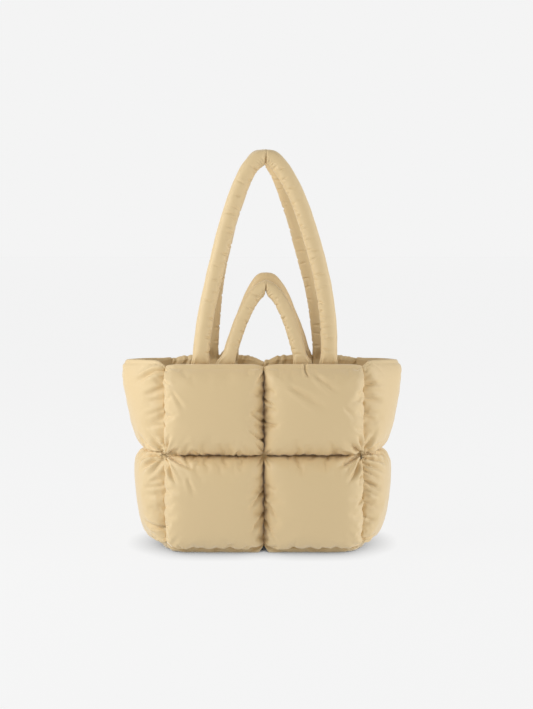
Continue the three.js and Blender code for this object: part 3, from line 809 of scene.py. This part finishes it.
def padded_strap(name, strap, back, steps, seed):
    """A padded tube along both legs, flat at its tabs and pinched where it folds over its peak."""
    (left_leg, left_length), (right_leg, right_length) = (
        smooth_line(leg_points(strap, side, back), steps) for side in (-1, 1)
    )
    rings = [(p, way, at, left_length, 1) for p, way, at in left_leg]
    rings += [(p, -way, at, right_length, -1) for p, way, at in reversed(right_leg[:-1])]
    creases = strap_creases(max(left_length, right_length), back, seed)
    shape = bmesh.new()
    bmesh.ops.create_grid(shape, x_segments=STRAP_SIDES, y_segments=len(rings) - 1, size=1)
    for v in shape.verts:
        turn = (v.co.x + 1) * math.pi
        middle, way, at, length, leg = rings[round((v.co.y + 1) / 2 * (len(rings) - 1))]
        to_peak = length - at
        from_peak = to_peak * leg
        root = fade(at, TAB_DEPTH, 2.1 * TAB_DEPTH)
        square = TAB_SQUARENESS - (TAB_SQUARENESS - 2) * fade(at, TAB_DEPTH, 2 * TAB_DEPTH)
        narrower = 0.9 + 0.1 * fade(to_peak, 0, 0.5 * TAB_DEPTH)
        bulge = 0.05 * math.exp(-(((to_peak - 0.5 * TAB_DEPTH) / (0.3 * TAB_DEPTH)) ** 2))
        width = strap["width"] * (1 + strap["flare"] * (1 - root)) * narrower * (1 + bulge)
        thick = TAB_THICKNESS + (strap["thick"] - TAB_THICKNESS) * root
        # The rings turn level at the peak, where one leg folds over into the other.
        turned = min(max(1 - to_peak / (0.8 * TAB_DEPTH), 0), 1)
        way = way.lerp(Vector((-1 if back else 1, 0, 0)), turned).normalized()
        deep = Vector((0, 1, 0))
        deep = (deep - way * way.y).normalized()
        wide = way.cross(deep)
        cosine, sine = math.cos(turn), math.sin(turn)
        x = math.copysign(abs(cosine) ** (2 / square), cosine)
        y = math.copysign(abs(sine) ** (2 / square), sine)
        sunk = 0
        for place, centre, reach, depth, slant in creases:
            if abs(from_peak - place) > CREASE_SPAN:
                continue
            round_it = (turn - centre + math.pi) % (2 * math.pi) - math.pi
            apart = (from_peak - place + slant * round_it) / CREASE_WIDTH
            ridges = 0.18 * math.exp(-((abs(apart) - 2.2) ** 2))
            sunk += depth * math.exp(-((round_it / reach) ** 2)) * (ridges - math.exp(-abs(apart) ** 1.5))
        broad = noise.noise(Vector((from_peak * 55 + seed, math.cos(turn), math.sin(turn) + seed * 2)))
        sunk = (sunk + DENTS * broad) * root
        gathered = fade(at, 0.9 * TAB_DEPTH, 1.2 * TAB_DEPTH) * (1 - root)
        sunk += TAB_GATHERS * math.cos(turn * 12 + 2 * broad) * gathered
        v.co = middle + wide * (x * (width / 2 + sunk)) + deep * (y * (thick / 2 + sunk))
    bmesh.ops.remove_doubles(shape, verts=shape.verts, dist=0.02 * MM)
    ends = [e for e in shape.edges if e.is_boundary]
    bmesh.ops.holes_fill(shape, edges=ends, sides=0)
    caps = [f for f in shape.faces if len(f.verts) > 4]
    bmesh.ops.inset_region(shape, faces=caps, thickness=1.5 * MM, depth=0.5 * MM)
    caps = [f for f in shape.faces if len(f.verts) > 4]
    bmesh.ops.poke(shape, faces=caps)
    bmesh.ops.recalc_face_normals(shape, faces=shape.faces)
    mesh = bpy.data.meshes.new(name)
    shape.to_mesh(mesh)
    shape.free()
    mesh.shade_smooth()
    piece = bpy.data.objects.new(name, mesh)
    scene.collection.objects.link(piece)
    return piece


# The route goes from the rim to the peak: shares of the spread, of the rise and the inset, and of the lean to a side.
LONG_STRAP = {
    "width": 24 * MM,
    "thick": 22 * MM,
    "flare": 0.08,
    "spread": 93 * MM,
    "rise": 305 * MM,
    "inset": 26 * MM,
    "lean": 5.6 * MM,
    "route": [
        (1, 0, 0.1), (1, 0.085, 0.35), (0.961, 0.228, 0.7), (0.88, 0.372, 0.97), (0.773, 0.515, 1),
        (0.646, 0.658, 0.88), (0.488, 0.801, 0.73), (0.385, 0.873, 0.57), (0.255, 0.944, 0.42),
        (0.135, 0.982, 0.45), (0, 1, 0.5),
    ],
}
BACK_STRAP = {
    **LONG_STRAP,
    "spread": 85 * MM,
    "rise": 307 * MM,
    "lean": -3 * MM,
    "route": [
        (1, 0, 0.8), (0.977, 0.098, 0.7), (0.916, 0.269, 0.35), (0.852, 0.384, -0.1), (0.771, 0.485, -0.6),
        (0.684, 0.58, -0.75), (0.58, 0.692, -0.85), (0.448, 0.8, -0.85), (0.31, 0.902, -0.75),
        (0.19, 0.96, -0.6), (0.1, 0.988, -0.5), (0, 1, -0.5),
    ],
}
strap_nylon = nylon_taffeta("beige_nylon_taffeta_calendered_strap")
for name, strap, back, seed in (("front_long_strap", LONG_STRAP, False, 3), ("back_long_strap", BACK_STRAP, True, 11)):
    piece = padded_strap(f"{name}_nylon", strap, back, 340, seed)
    piece.data.materials.append(strap_nylon)
    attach(piece, "root")
    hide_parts(name)

# The short handles: padded tubes of the same nylon, narrower and lower, between the long straps' roots. They are sewn
# to the same hem band, with wide gathered ends.
SHORT_HANDLE = {
    "width": 20 * MM,
    "thick": 19 * MM,
    "flare": 0.36,
    "spread": 57 * MM,
    "rise": 118 * MM,
    "inset": 15 * MM,
    "lean": 5.6 * MM,
    "route": [
        (1, 0, 0.05), (0.94, 0.08, 0.12), (0.87, 0.195, 0.2), (0.755, 0.38, 0.3), (0.655, 0.525, 0.37),
        (0.549, 0.647, 0.42), (0.386, 0.805, 0.48), (0.242, 0.898, 0.5), (0, 1, 0.5),
    ],
}
BACK_HANDLE = {
    **SHORT_HANDLE,
    "rise": 125 * MM,
    "lean": -6 * MM,
    "route": [
        (1, 0, 0.5), (0.96, 0.08, 0.7), (0.9, 0.2, 0.8), (0.755, 0.4, 0.8), (0.59, 0.592, 0.72),
        (0.425, 0.78, 0.7), (0.235, 0.925, 0.6), (0.11, 0.984, 0.5), (0, 1, 0.5),
    ],
}
for name, strap, back, seed in (
    ("front_short_handle", SHORT_HANDLE, False, 5),
    ("back_short_handle", BACK_HANDLE, True, 17),
):
    piece = padded_strap(f"{name}_nylon", strap, back, 150, seed)
    piece.data.materials.append(strap_nylon)
    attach(piece, "root")
    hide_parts(name)

bpy.context.view_layer.update()
